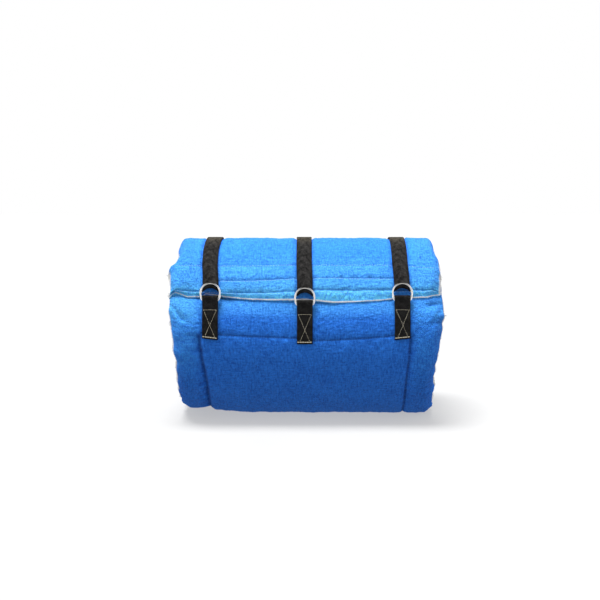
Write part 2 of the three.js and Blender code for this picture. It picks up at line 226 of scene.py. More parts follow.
# The same at the flap's edge: place along the axis, width
EDGE_RIM = (
    (-230, 2.8), (-190, 2.8), (-150, 3.2), (0, 3.4), (20, 2.6), (75, 2.4), (95, 0.8), (150, 0.8), (185, 2.8),
    (230, 3.4),
)
# Painted light over the top and on the flap, a paler blue where the cloth should look more lit: angle, share
PAINTED_LIGHT_FLAP = (
    (-120, 0), (-240, 0), (-300, 0.05), (-308, 0.17), (-312, 0.36), (-318, 0.38), (-325, 0.5), (-329, 0.68),
    (-333, 1.0),
)
# Where the painted light of the cuffs begins and where it is full, measured from the middle
CUFF_COLOUR_FROM = (172, 192)
# How thick and uneven the nap is: angle, strength
NAP_STRENGTH = (
    (UNDER_END, 1.0), (18, 0.95), (6, 0.66), (-4, 0.62), (-60, 0.58), (-90, 0.45), (-240, 0.4), (-300, 0.42),
    (-309, 0.72), (-318, 0.92), (-325, 1.05), (-333, 1.35),
)

# Sewn threads and loose yarn
STITCH_LENGTH = 2.6
STITCH_GAP = 1.8
STITCH_LIFT = 0.25
PALE_ROW_BELOW = 1.1
# Places where more yarn has come loose: station, side, spread along the edge in degrees
Tuft = namedtuple("Tuft", "station side spread")
TUFTS = (
    Tuft(-311, -1, 1.0), Tuft(-331, -1, 1.5), Tuft(4, -1, 1.2), Tuft(12, 1, 0.4), Tuft(-62, 1, 3.0),
    Tuft(-318, 1, 6.0), Tuft(-68, -1, 2.0),
)
TUFT_SIZE = 26
EDGE_YARNS = 1300
END_YARNS = 1700

# Studio light: strengths are what a white sheet would show, and the gloss ones what bright metal mirrors
SKY_ABOVE = 0.9
SKY_BELOW = 0.44
KEY_POWER = 2.14 * math.pi
KEY_SPREAD = math.radians(30)
KEY_FROM = (-0.15, 0.017, 1.0)
GLOSS_FRONT = 0.1
GLOSS_SIDES = 1.8

# The photograph's view: the axis lands a little right of and below the picture's middle
VIEW_DISTANCE = 2.4
VIEW_ELEVATION = math.radians(8)
VIEW_SCALE = 0.001783
PICTURE_WIDTH = 600
AXIS_RIGHT_PIXELS = 6
AXIS_DOWN_PIXELS = 25
SENSOR = 36.0


def column(table, place):
    return np.array([row[place] for row in table], float)


def look_up(table, angle, place=1, ease=0.0):
    """Value of a table's column at angles, between its rows, rounded off over an angle of ease."""
    angle = np.asarray(angle, float)
    offsets = np.linspace(-ease, ease, 7) if ease else np.zeros(1)
    keys = -column(table, 0)
    values = [np.interp(-(angle + step), keys, column(table, place)) for step in offsets]
    return np.mean(values, axis=0)


def by_side(x, left, right):
    return np.where(np.asarray(x) < 0, left, right)


def ramp(value, start, end):
    share = np.clip((value - start) / (end - start), 0, 1)
    return share * share * (3 - 2 * share)


def bell(offset, width):
    return np.exp(-((offset / width) ** 2))


def crease(offset, width):
    """A sharp valley with soft shoulders, rounded over a quarter of its width."""
    return np.exp(-np.sqrt(offset ** 2 + (0.25 * width) ** 2) / width)


def unit(vectors):
    return vectors / np.maximum(np.linalg.norm(vectors, axis=-1, keepdims=True), 1e-9)


def ripple(u, v, length, seed):
    """Smooth seeded unevenness of about unit size over a surface measured in u and v."""
    draw = np.random.default_rng(seed)
    total = np.zeros(np.broadcast(u, v).shape)
    for _ in range(RIPPLE_WAVES):
        turn = draw.uniform(0, 2 * np.pi)
        wave = 2 * np.pi / (length * draw.uniform(*RIPPLE_SPREAD))
        phase = draw.uniform(0, 2 * np.pi)
        total += np.sin(wave * (u * np.cos(turn) + v * np.sin(turn)) + phase)
    return total / math.sqrt(RIPPLE_WAVES / 2)


def uneven(u, v, kind):
    return kind.size * ripple(u, v, kind.length, kind.seed)


def end_reach(angle, x):
    """Distance of the wrap's uneven end from its middle, on the side of x."""
    angle = np.asarray(angle)
    arc = angle * DEGREE
    ear = EAR_REACH * bell(angle - EAR_ANGLE, EAR_SPREAD)
    # The right end is scalloped below the tabs
    scallop = 0.9 * np.sin(arc * 2 * np.pi / 21) * bell(angle + 48, 32)
    left = look_up(ENDS, angle, LEFT, END_EASE) + uneven(arc, 0 * arc, LEFT_WANDER) + ear
    right = look_up(ENDS, angle, RIGHT, END_EASE) + uneven(arc, 0 * arc, RIGHT_WANDER) + scallop
    return by_side(x, left, right)


def end_share(angle, x):
    """Share of the full thickness: 1 in the middle, falling on a quarter ellipse to 0 at the ends."""
    left = look_up(ENDS, angle, LEFT_ROUND, END_EASE)
    right = look_up(ENDS, angle, RIGHT_ROUND, END_EASE)
    inside = np.clip((end_reach(angle, x) - np.abs(x)) / by_side(x, left, right), 0, 1)
    return np.sqrt(1 - (1 - inside) ** 2)


def bowed(angle, x):
    return angle + look_up(BOWS, angle, ease=3) * np.abs(np.asarray(x) / HALF_LENGTH) ** BOW_POWER


def placed(angle, x):
    """Angle at which a station lies, bowed and strayed."""
    stations = np.array(sorted(STRAY_LINES + STRAY_RESTS, reverse=True))
    angle = np.asarray(angle, float)
    stray = 0
    for place, line in enumerate(STRAY_LINES, start=1):
        rise = np.interp(x, column(STRAYS, 0), column(STRAYS, place))
        stray = stray + rise * np.interp(-angle, -stations, (stations == line).astype(float))
    return bowed(angle, x) + stray


def station_at(angle, x):
    """The station that lies at an angle, for stations of the flap and the pad."""
    station = np.asarray(angle, float) + 0 * np.asarray(x)
    for _ in range(BOW_PASSES):
        station = station + angle - placed(station, x)
    return station


def strap_place(angle, closure):
    """Place along the axis of a strap's middle, slid from its closure's where it has left the rings."""
    return closure.x + np.interp(angle, SLIDE_ANGLES, (0, closure.on_flap, closure.on_flap, closure.on_top))


def pressed(off):
    """1 below a web, falling to 0 past its shoulders, at a distance along the axis from its middle."""
    return 1 - ramp(np.abs(off), WEB_WIDTH / 2, WEB_WIDTH / 2 + DENT_SHOULDER)


def under_straps(angle, x):
    """1 where a strap presses on the cloth, and where a tab does, 0 elsewhere."""
    angle = np.asarray(angle, float)
    anchor = 360 - STRAP_ANCHOR
    strapped = ramp(-angle, anchor - 3, anchor)
    tabbed = ramp(angle, -8, -4)
    strap, tab = 0, 0
    for closure in CLOSURES:
        strap = np.maximum(strap, pressed(x - strap_place(angle + 360, closure)))
        tab = np.maximum(tab, pressed(x - closure.x))
    return strap * strapped, tab * tabbed


def cuff_seam(angle, x):
    """Distance of the cuff seam from the middle, on the side of x."""
    share = ramp(-np.asarray(angle), 0, CUFF_SEAM_TURN)
    left, right = (seam.front + (seam.below - seam.front) * share for seam in CUFF_SEAMS)
    return by_side(x, left, right)


def in_pad(angle):
    """1 where the full pad lies between the pad seam and the flap seam, 0 on both margins."""
    past_pad_seam = ramp(-angle, -PAD_SEAM, -PAD_SEAM + PAD_FADE)
    return past_pad_seam * ramp(angle, FLAP_SEAM, FLAP_SEAM + PAD_FADE)


def seam_dips(angle, x):
    arc = angle * DEGREE
    dips = 0
    for seam in SEAMS:
        off = arc - seam.angle * DEGREE
        width = np.where(off > 0, seam.above, seam.below)
        fade = 1 - ramp(np.abs(x), seam.half - SEAM_FADE, seam.half)
        pucker = 1 + uneven(x, 0 * x, Uneven(0.3, 9, seam.seed))
        dips = dips + seam.depth * fade * pucker * crease(off, width * (1 + np.abs(off) / SEAM_SHOULDER))
    pucker = 1 + uneven(arc, 0 * arc, CUFF_PUCKER)
    shown = in_pad(angle) * (1 - CUFF_SEAM_LOSS * ramp(-angle, *CUFF_SEAM_FADE))
    for seam in CUFF_SEAMS:
        off = seam.side * x - cuff_seam(angle, x)
        dip = crease(off, np.where(off > 0, seam.roll, seam.step))
        dips = dips + np.where(seam.side * x > 0, seam.depth * shown * pucker * dip, 0)
    return dips


def fold_dips(angle, x):
    dips = 0
    for fold in FOLDS:
        start = np.array([fold.station0 * DEGREE, fold.x0])
        way = np.array([fold.station1 * DEGREE, fold.x1]) - start
        off = np.stack(np.broadcast_arrays(angle * DEGREE, x), axis=-1) - start
        share = np.clip(off @ way / (way @ way), 0, 1)
        gap = np.linalg.norm(off - share[..., None] * way, axis=-1)
        dips = dips + fold.depth * crease(gap, fold.width)
    return dips


def lumps(angle, x):
    return sum(uneven(angle * DEGREE, LUMP_STRETCH * x, kind) for kind in LUMPS)


def plain_draw(angle, x):
    """How far straps and the tight left end draw the cloth in, without its seams and unevenness."""
    strap, _ = under_straps(angle, x)
    near = bell(angle - LEFT_PULL_ANGLE, LEFT_PULL_REACH)
    pull = LEFT_PULL_DEPTH * near * ramp(-x, LEFT_PULL_FROM, LEFT_PULL_TO)
    dent = STRAP_DENT_TOP + (STRAP_DENT_FLAP - STRAP_DENT_TOP) * ramp(-angle, *DENT_FADE)
    return pull + dent * strap


def drawn_in(angle, x):
    """How far the cloth lies below its plain form, with seams, folds, hems and lumps."""
    strap, tab = under_straps(angle, x)
    free = (1 - strap) * (1 - tab)
    from_end = end_reach(angle, x) - np.abs(x)
    gather = 1 + uneven(angle * DEGREE, 0 * x, HEM_GATHER)
    hem = HEM_DEPTH * gather * crease(from_end - HEM_INSET, HEM_WIDTH)
    sewn = seam_dips(angle, x) + fold_dips(angle, x) + hem
    return plain_draw(angle, x) + sewn - free * lumps(angle, x)


def lower_top(angle, x, draw):
    full = look_up(LOWER_HEIGHTS, angle, ease=2) - RAW_EDGE - draw(angle, x)
    return RAW_EDGE + full * end_share(angle, x)


def flap_underside(angle, x, draw):
    over = bowed(angle, x) + 360
    on_top = lower_top(np.minimum(over, UNDER_END), x, draw) + LAYER_GAP
    dropped = (over - UNDER_END - UNDER_CLEAR) / UNDER_DROP
    return on_top * (1 - np.clip(dropped, 0, 1))


def faces(angle, x, draw):
    """Heights above the bore of the wrap's inner and outer face at stations, arrays of one shape."""
    core = lower_top(angle, x, draw)
    under = flap_underside(angle, x, draw)
    middle_under = flap_underside(angle, np.zeros_like(x), plain_draw)
    thick = look_up(FLAP_HEIGHTS, angle, ease=1.5) - middle_under - draw(angle, x)
    flap = under + FLAP_RAW_EDGE + np.maximum(thick - FLAP_RAW_EDGE, 0) * end_share(angle, x)
    on_flap = angle <= FLAP_START
    return np.where(on_flap, under, 0), np.where(on_flap, flap, core)


def torn_out(angle, x):
    """How far the outer layer of a torn end lies beyond its place."""
    share = end_share(angle, x)
    layer = bell(share - 0.6, 0.13)
    hollow = 0.9 * bell(share - 0.33, 0.1)
    out = 0
    for side, reach in TORN_ENDS:
        out = out + np.where(side * x > 0, side * reach, 0)
    return out * (layer - hollow) * bell(angle - TORN_ANGLE, TORN_SPREAD)


def stretched(x, old, new):
    """Places along the axis, kept in the middle, with the ends moved from old to new."""
    size = np.abs(x)
    moved = FLAT_HALF + (size - FLAT_HALF) * (new - FLAT_HALF) / (old - FLAT_HALF)
    return np.sign(x) * np.where(size <= FLAT_HALF, size, moved)


def around(angle, radius, x):
    """Points at angles and distances from the axis."""
    turn = np.radians(angle)
    parts = np.broadcast_arrays(x, -radius * np.cos(turn), AXIS_HEIGHT + radius * np.sin(turn))
    return np.stack(parts, axis=-1)


def joined(runs, last):
    return np.concatenate([*(np.arange(*run) for run in runs), last])


def wrap_columns():
    end = FLAT_HALF + (NOMINAL_HALF - FLAT_HALF) * np.sin(np.linspace(0, math.pi / 2, 18))
    half = joined(COLUMN_RUNS, end)
    return np.concatenate([-half[:0:-1], half])


COLUMNS = wrap_columns()
STATIONS = joined(STATION_RUNS, np.linspace(-298, FLAP_EDGE, 90))


def with_lips(stations, lips):
    return np.concatenate([stations, np.full(len(lips), FLAP_EDGE)])


def face_points(columns, side, stations=STATIONS, lips=LIP_TURNS, draw=drawn_in):
    """Grid of points, stations by columns, on the wrap's inner (0) or outer (1) face."""
    rows = with_lips(stations, lips)
    turn = np.concatenate([np.zeros(len(stations)), lips])[:, None]
    angle = np.repeat(rows[:, None], len(columns), axis=1)
    nominal = np.repeat(columns[None, :], len(rows), axis=0)
    x = stretched(nominal, NOMINAL_HALF, end_reach(angle, nominal))
    pair = faces(angle, x, draw)
    middle = (pair[0] + pair[1]) / 2
    height = middle + (pair[side] - middle) * np.cos(turn)
    place = placed(angle, x) - LIP_REACH * np.sin(turn)
    points = around(place, BORE + height, x + side * torn_out(angle, x))
    points[..., 2] = np.maximum(points[..., 2], 0)
    return points


def grid_normals(points):
    """Outward normals of a grid of points, stations by columns."""
    return unit(np.cross(np.gradient(points, axis=0), np.gradient(points, axis=1)))


def loop_quads(loops, count, closed_rows=False):
    """Quads of a tube through rows of count points each, the points of a row joined end to end."""
    row = np.arange(loops if closed_rows else loops - 1)[:, None]
    place = np.arange(count)[None, :]
    beside = (place + 1) % count
    here = row * count
    above = ((row + 1) % loops) * count
    corners = np.broadcast_arrays(here + place, here + beside, above + beside, above + place)
    return np.stack(corners, axis=-1).reshape(-1, 4).tolist()


def end_caps(loops, count):
    """Polygons that close the first and the last row of such a tube."""
    return [list(range(count))[::-1], list(range((loops - 1) * count, loops * count))]


def sewn_weights(angle, x):
    """How firmly the cloth is held to its form: 1 at seams, straps and edges."""
    from_end = end_reach(angle, x) - np.abs(x)
    from_edge = (angle - FLAP_EDGE) * DEGREE
    holds = [
        *under_straps(angle, x),
        bell(np.abs(x) - cuff_seam(angle, x), HELD_AT_SEAMS) * in_pad(angle),
        1 - ramp(from_end, 5, 14),
        1 - ramp(from_edge, 3, 9),
        ramp(angle, 13, 18),  # below the flap
        bell(angle + 90, 14),  # on the floor
        np.full(angle.shape, HELD_EVERYWHERE),
    ]
    for seam in SEAMS:
        line = bell((angle - seam.angle) * DEGREE, HELD_AT_SEAMS)
        holds.append(line * (np.abs(x) < seam.half))
    return np.clip(np.maximum.reduce(holds), 0, 1)


def simulate_swell():
    """Millimetres that the cloth swells and puckers between its sewn lines, on the coarse grid."""
    start = face_points(SIM_COLUMNS, 1, SIM_STATIONS, lips=np.zeros(0), draw=plain_draw)
    rows, count = start.shape[:2]
    angle = np.repeat(SIM_STATIONS[:, None], count, axis=1)
    mesh = bpy.data.meshes.new("cloth_trial")
    quads = [quad for place, quad in enumerate(loop_quads(rows, count)) if place % count < count - 1]
    mesh.from_pydata((start.reshape(-1, 3) * METRE).tolist(), [], quads)
    trial = bpy.data.objects.new("cloth_trial", mesh)
    scene = bpy.context.scene
    scene.collection.objects.link(trial)
    sewn = trial.vertex_groups.new(name="sewn")
    for index, weight in enumerate(sewn_weights(angle, start[..., 0]).ravel().tolist()):
        sewn.add([index], weight, "REPLACE")
    cloth = trial.modifiers.new("cloth", "CLOTH")
    cloth.settings.quality = 5
    cloth.settings.vertex_group_mass = "sewn"
    cloth.settings.bending_stiffness = 0.8
    cloth.settings.shrink_min = -SIM_EXTRA_CLOTH
    cloth.settings.use_pressure = True
    cloth.settings.uniform_pressure_force = SIM_PRESSURE
    cloth.settings.effector_weights.gravity = 0
    cloth.collision_settings.use_collision = False
    cloth.point_cache.frame_end = SIM_FRAMES
    for step in range(1, SIM_FRAMES + 1):
        scene.frame_set(step)
    done = trial.evaluated_get(bpy.context.evaluated_depsgraph_get()).to_mesh()
    moved = np.empty(len(done.vertices) * 3)
    done.vertices.foreach_get("co", moved)
    moved = moved.reshape(start.shape) / METRE - start
    scene.frame_set(1)
    bpy.data.objects.remove(trial)
    bpy.data.meshes.remove(mesh)
    return np.clip((moved * grid_normals(start)).sum(axis=-1), -SIM_CAP, SIM_CAP)


def sample(grid, row, col):
    """Values of a grid at fractional rows and columns."""
    above = np.clip(row.astype(int), 0, grid.shape[0] - 2)
    left = np.clip(col.astype(int), 0, grid.shape[1] - 2)
    extra = (1,) * (grid.ndim - 2)
    down = (row - above).reshape(row.shape + extra)
    over = (col - left).reshape(col.shape + extra)
    near = grid[above, left] * (1 - over) + grid[above, left + 1] * over
    far = grid[above + 1, left] * (1 - over) + grid[above + 1, left + 1] * over
    return near * (1 - down) + far * down


def outer_cloth():
    """The outer face with its seams and folds, and the swell of the simulated cloth on it."""
    points = face_points(COLUMNS, 1)
    swell = simulate_swell()
    row = np.interp(-STATIONS, -SIM_STATIONS, np.arange(len(SIM_STATIONS)))
    col = np.interp(COLUMNS, SIM_COLUMNS, np.arange(len(SIM_COLUMNS)))
    extra = sample(swell, *np.meshgrid(row, col, indexing="ij"))
    rows = len(STATIONS)
    points[:rows] += grid_normals(points[:rows]) * extra[..., None]
    points[..., 2] = np.maximum(points[..., 2], 0)
    return points


OUTER = outer_cloth()
INNER = face_points(np.linspace(NOMINAL_HALF, -NOMINAL_HALF, BORE_COLUMNS), 0)


def on_cloth(station, x):
    """Points of the outer cloth at stations and places along the axis."""
    row = np.interp(-station, -STATIONS, np.arange(len(STATIONS)))
    nominal = stretched(x, end_reach(station, x), NOMINAL_HALF)
    col = np.interp(nominal, COLUMNS, np.arange(len(COLUMNS)))
    return sample(OUTER[:len(STATIONS)], row, col)


def cloth_normal(station, x):
    turn, shift = 0.3, 0.8
    along = on_cloth(station - turn, x) - on_cloth(station + turn, x)
    across = on_cloth(station, x + shift) - on_cloth(station, x - shift)
    return unit(np.cross(along, across))


def new_piece(name, points, polygons, material, attributes=None):
    """A mesh object from points in millimetres and polygons, riding on the one body.

    Attributes hold a value for each point, apart from weave, which holds a vector.
    """
    mesh = bpy.data.meshes.new(name)
    mesh.from_pydata((np.asarray(points) * METRE).tolist(), [], polygons)
    mesh.polygons.foreach_set("use_smooth", [True] * len(mesh.polygons))
    for label, values in (attributes or {}).items():
        kind, field = ("FLOAT_VECTOR", "vector") if label == "weave" else ("FLOAT", "value")
        layer = mesh.attributes.new(label, kind, "POINT")
        layer.data.foreach_set(field, np.asarray(values, np.float32).ravel())
    mesh.materials.append(material)
    mesh.update()
    piece = bpy.data.objects.new(name, mesh)
    bpy.context.scene.collection.objects.link(piece)
    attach(piece, "root")
    return piece


def fix_facing(piece):
    """Turns all faces outward when the closed mesh is inside out."""
    mesh = piece.data
    points = np.empty(len(mesh.vertices) * 3)
    mesh.vertices.foreach_get("co", points)
    points = points.reshape(-1, 3)
    mesh.calc_loop_triangles()
    corners = np.empty(len(mesh.loop_triangles) * 3, np.int32)
    mesh.loop_triangles.foreach_get("vertices", corners)
    first, second, third = (points[corners.reshape(-1, 3)[:, place]] for place in range(3))
    if np.einsum("ij,ij->i", first, np.cross(second, third)).sum() < 0:
        mesh.flip_normals()


class Nodes:
    """A tree of shader nodes, with short calls to add to it."""

    def __init__(self, tree):
        self.tree = tree

    def add(self, kind, inputs=None, **settings):
        made = self.tree.nodes.new("ShaderNode" + kind)
        for label, value in settings.items():
            setattr(made, label, value)
        for key, value in (inputs or {}).items():
            self.feed(made.inputs[key], value)
        return made

    def feed(self, socket, value):
        if isinstance(value, bpy.types.NodeSocket):
            self.tree.links.new(value, socket)
        else:
            socket.default_value = value

    def math(self, operation, *values):
        return self.add("Math", dict(enumerate(values)), operation=operation).outputs[0]

    def total(self, first, *others):
        for other in others:
            first = self.math("ADD", first, other)
        return first

    def remap(self, value, start, end, low=0.0, high=1.0):
        """Maps a value from one range to another and holds it there."""
        return self.add("MapRange", {0: value, 1: start, 2: end, 3: low, 4: high}).outputs[0]

    def blend(self, share, first, second):
        return self.add("Mix", {0: share, 2: first, 3: second}).outputs[0]


class Shader(Nodes):
    """The nodes of a new material round its Principled shader."""

    NOISE_MIDDLE = (0.3, 0.7)

    def __init__(self, name, **constants):
        self.material = bpy.data.materials.new(name)
        self.material.use_nodes = True
        super().__init__(self.material.node_tree)
        self.surface = self.tree.nodes["Principled BSDF"]
        self.connect(**constants)

    def connect(self, **sockets):
        for label, value in sockets.items():
            self.feed(self.surface.inputs[label.replace("_", " ")], value)
        return self.material

    def attribute(self, name, output="Fac"):
        return self.add("Attribute", attribute_name=name).outputs[output]

    def object_place(self):
        return self.add("TexCoord").outputs["Object"]

    def scaled(self, vector, scale):
        return self.add("Mapping", {"Vector": vector, "Scale": scale}).outputs[0]

    def wave(self, value, length):
        return self.math("SINE", self.math("MULTIPLY", value, 2 * math.pi / length))

    def noise(self, vector, scale, detail=3, roughness=0.55):
        settings = {"Vector": vector, "Scale": scale, "Detail": detail, "Roughness": roughness}
        return self.add("TexNoise", settings).outputs[0]

    def spread(self, value, low, high):
        """Maps the useful middle of a noise to a range."""
        return self.remap(value, *self.NOISE_MIDDLE, low, high)

    def swing(self, value, size):
        return self.spread(value, -size, size)

    def mix(self, share, first, second):
        return self.add("Mix", {0: share, 6: first, 7: second}, data_type="RGBA").outputs[2]

    def bump(self, height, distance, strength, normal=None):
        inputs = {"Height": height, "Distance": distance, "Strength": strength}
        if normal is not None:
            inputs["Normal"] = normal
        return self.add("Bump", inputs).outputs[0]


def rgb(red, green, blue):
    return (red, green, blue, 1.0)


# Blues of the cloth, each from the dark to the bright of its mottling, and the bare yarn below them
DEEP_BLUE = (rgb(0.0105, 0.098, 0.5), rgb(0.036, 0.245, 0.92))
# A brighter blue painted on the front of the cuffs: painted light.
PAINTED_CUFF_LIGHT_BLUE = (rgb(0.018, 0.15, 0.74), rgb(0.05, 0.33, 1.0))
# A paler blue painted where the cloth should look more lit: painted light.
PAINTED_LIGHT_BLUE = (rgb(0.06, 0.335, 0.95), rgb(0.15, 0.67, 1.0))
BARE_YARN = rgb(0.86, 0.86, 0.84)


def cloth_material():
    """Mottled blue: woven yarns under a nap, painted lighter on the flap and cuffs, with painted shade in its
    seams and bare where it frays.
    """
    sheen = {"Sheen_Weight": 0.04, "Sheen_Roughness": 0.5}
    shader = Shader("blue_cloth", Roughness=0.95, Specular_IOR_Level=0.08, **sheen)
    place = shader.attribute("weave", "Vector")
    fluff = shader.attribute("nap")
    parts = shader.add("SeparateXYZ", {0: place}).outputs
    weave = shader.math("MULTIPLY", shader.wave(parts[0], 3.1), shader.wave(parts[1], 3.4))
    warp = shader.noise(shader.scaled(place, (0.08, 0.36, 1)), 1.0, detail=2)
    weft = shader.noise(shader.scaled(place, (0.34, 0.08, 1)), 1.0, detail=2)
    grain = shader.scaled(place, (1.7, 1, 1))
    nap = shader.noise(grain, 0.52, detail=4, roughness=0.7)
    tufts = shader.noise(grain, 0.24, detail=3, roughness=0.6)
    broad = shader.noise(place, 0.022)
    mottling = shader.total(shader.swing(nap, 0.62), shader.swing(tufts, 0.5))
    tone = shader.total(
        shader.math("MULTIPLY", mottling, fluff),
        shader.swing(warp, 0.25),
        shader.swing(weft, 0.28),
        shader.swing(broad, 0.1),
        shader.math("MULTIPLY", weave, 0.16),
        0.5,
    )
    deep, clear, lit_blue = (shader.mix(tone, *pair) for pair in (DEEP_BLUE, PAINTED_CUFF_LIGHT_BLUE, PAINTED_LIGHT_BLUE))
    # Painted light: the brighter blue on the front of the cuffs.
    with_cuff_light = shader.mix(shader.attribute("cuff_painted_light"), deep, clear)
    # Painted light: the paler blue mixed in by its share.
    blue = shader.mix(shader.attribute("pale"), with_cuff_light, lit_blue)
    # Painted shade: a dark blue mixed into the bottoms of the sewn lines, where their creases would be
    # shaded.
    blue = shader.mix(shader.math("MULTIPLY", shader.attribute("painted_seam_shade"), 0.65), blue, rgb(0.006, 0.035, 0.16))
    ragged = shader.total(shader.attribute("fray"), shader.swing(nap, 0.3))
    colour = shader.mix(shader.remap(ragged, 0.4, 0.75), blue, BARE_YARN)
    normal = shader.bump(shader.total(weave, shader.swing(warp, 0.4)), 0.0003, 0.9)
    fuzz = shader.total(nap, shader.math("MULTIPLY", tufts, 1.6))
    fuzz = shader.math("MULTIPLY", fuzz, shader.math("MINIMUM", fluff, 0.98))
    return shader.connect(Base_Color=colour, Normal=shader.bump(fuzz, 0.0028, 0.9, normal))


# Blacks of the webbing: plain, a painted lighter black for straps lit from above, and a painted highlight for
# their crests
WEB_DARK = rgb(0.002, 0.002, 0.002)
WEB_PLAIN = rgb(0.018, 0.0174, 0.0174)
WEB_PAINTED_LIT = rgb(0.033, 0.0315, 0.031)
WEB_PAINTED_HIGHLIGHT = rgb(0.1, 0.087, 0.064)


def webbing_material():
    shader = Shader("webbing", Roughness=0.85, Specular_IOR_Level=0.12)
    place = shader.attribute("weave", "Vector")
    painted_web_light = shader.attribute("painted_web_light")
    parts = shader.add("SeparateXYZ", {0: place}).outputs
    slope = shader.math("MULTIPLY", shader.math("ABSOLUTE", parts[0]), 0.8)
    rib = shader.wave(shader.total(parts[1], slope), 3.2)
    cords = shader.wave(parts[0], 2.1)
    weave = shader.math("MULTIPLY", shader.total(rib, 1.0), shader.total(cords, 1.2))
    fuzz = shader.noise(place, 0.34, detail=4, roughness=0.7)
    broad = shader.noise(place, 0.1, detail=2)
    tone = shader.total(
        shader.swing(fuzz, 0.6),
        shader.swing(broad, 0.38),
        shader.math("MULTIPLY", weave, 0.14),
        0.25,
    )
    # Painted light and painted highlight on the straps; the tabs keep the plain black.
    bright = shader.mix(shader.remap(painted_web_light, 0.0, 0.5), WEB_PLAIN, WEB_PAINTED_LIT)
    bright = shader.mix(shader.remap(painted_web_light, 0.5, 1.0), bright, WEB_PAINTED_HIGHLIGHT)
    normal = shader.bump(fuzz, 0.0006, 0.6, shader.bump(weave, 0.0002, 0.8))
    return shader.connect(Base_Color=shader.mix(tone, WEB_DARK, bright), Normal=normal)


def thread_material(name, dark, light):
    shader = Shader(name, Roughness=0.75, Specular_IOR_Level=0.3, Sheen_Weight=0.1)
    place = shader.object_place()
    tone = shader.spread(shader.noise(place, 260.0, detail=2), 0.0, 1.0)
    fuzz = shader.noise(place, 2600.0)
    return shader.connect(Base_Color=shader.mix(tone, dark, light), Normal=shader.bump(fuzz, 0.0002, 0.6))


def nickel_material():
    shader = Shader("ring_steel", Metallic=1.0)
    place = shader.object_place()
    haze = shader.noise(place, 190.0, detail=4)
    fine = shader.noise(place, 1500.0)
    colour = shader.mix(shader.spread(haze, 0, 1), rgb(0.6, 0.58, 0.53), rgb(0.82, 0.81, 0.78))
    rough = shader.spread(haze, 0.05, 0.13)
    return shader.connect(Base_Color=colour, Roughness=rough, Normal=shader.bump(fine, 0.00008, 0.35))


def floor_material():
    """Pale and faintly lit from within, so that shadows on it stay light."""
    glow = {"Emission_Color": rgb(1, 1, 1), "Emission_Strength": 0.45}
    shader = Shader("studio_floor", Roughness=0.95, Specular_IOR_Level=0.05, **glow)
    tone = shader.spread(shader.noise(shader.object_place(), 4.0, detail=4), 0, 1)
    return shader.connect(Base_Color=shader.mix(tone, rgb(0.19, 0.19, 0.19), rgb(0.21, 0.21, 0.21)))


CLOTH = cloth_material()
WEBBING = webbing_material()
NICKEL = nickel_material()
WHITE_YARN = thread_material("white_yarn", rgb(0.55, 0.58, 0.62), BARE_YARN)
PALE_THREAD = thread_material("pale_thread", rgb(0.22, 0.47, 0.9), rgb(0.55, 0.74, 1.0))
BLUE_THREAD = thread_material("blue_thread", rgb(0.03, 0.16, 0.6), rgb(0.08, 0.3, 0.9))
TAN_THREAD = thread_material("tan_thread", rgb(0.62, 0.55, 0.38), rgb(0.95, 0.9, 0.74))


def painted_light_share(angle, x):
    """Share of painted light, a paler blue for light the cloth should catch: 1 at the flap's edge, 0 on the
    front of the pad.
    """
    strap, _ = under_straps(angle, x)
    on_cuff = ramp(np.abs(x), *CUFF_COLOUR_FROM)
    rise = ramp(-angle, 255, 285)
    cuff_top = 0.14 * on_cuff * rise * (1 - ramp(-angle, 303, 318))
    # Most of the painted light is taken away under the straps and rings, where the cloth lies in their shade.
    flap = look_up(PAINTED_LIGHT_FLAP, angle) * (1 - 0.8 * strap) + cuff_top
    # Painted light below the flap and on the front of the cuffs.
    under = 0.3 * ramp(angle, 9, 20)
    low = by_side(x, 0.18, 0.04) * ramp(angle, -25, 8)
    high = by_side(x, 0.34, 0.25) * ramp(angle, 2, 16)
    return np.maximum.reduce([flap, under, on_cuff * (low + high)])


def cuff_painted_light_share(angle, x):
    """Share of painted light on the cuffs, a brighter blue: 1 on the front of the left cuff."""
    most = by_side(x, 1.0, 0.7)
    on_cuff = ramp(np.abs(x), *CUFF_COLOUR_FROM)
    return most * on_cuff * ramp(angle, -38, -14) * (1 - ramp(angle, 10, 22))


def nap_strength(angle, x):
    """How thick the nap is: thicker on the cuffs, pressed flat below straps and tabs."""
    on_cuff = ramp(np.abs(x), 178, 198)
    rough = on_cuff * np.maximum(ramp(angle, -60, 0), ramp(-angle, 255, 275))
    flattened = 1 - 0.4 * np.maximum(*under_straps(angle, x))
    return look_up(NAP_STRENGTH, angle) * (1 + rough) * flattened


def painted_seam_shade(angle, x):
    """1 in the bottom of the sewn lines, where shade is painted into the cloth's colour."""
    share = 0
    for seam in SEAMS:
        # The flap seam's painted shade lies a little below its line, at half strength.
        below, strength = (1.8, 0.5) if seam.angle == FLAP_SEAM else (0.0, 1.0)
        line = strength * bell((angle - seam.angle) * DEGREE + below, 1.5)
        share = np.maximum(share, line * (np.abs(x) < seam.half))
    for seam in CUFF_SEAMS:
        line = bell(seam.side * x - cuff_seam(angle, x), 1.4 + 0.2 * seam.roll)
        share = np.maximum(share, line * in_pad(angle))
    return share


def fray_share(angle, x):
    """How bare the white yarn lies: 1 at the raw edges, 0 past their rims."""
    from_end = end_reach(angle, x) - np.abs(x)
    from_edge = (angle - FLAP_EDGE) * DEGREE
    end_rim = by_side(x, look_up(END_RIMS, angle, LEFT), look_up(END_RIMS, angle, RIGHT))
    edge_rim = np.interp(x, column(EDGE_RIM, 0), column(EDGE_RIM, 1))
    fray = 1 - np.clip(np.minimum(from_end / end_rim, from_edge / edge_rim), 0, 1)
    fray[len(STATIONS):] = 0.2
    return fray


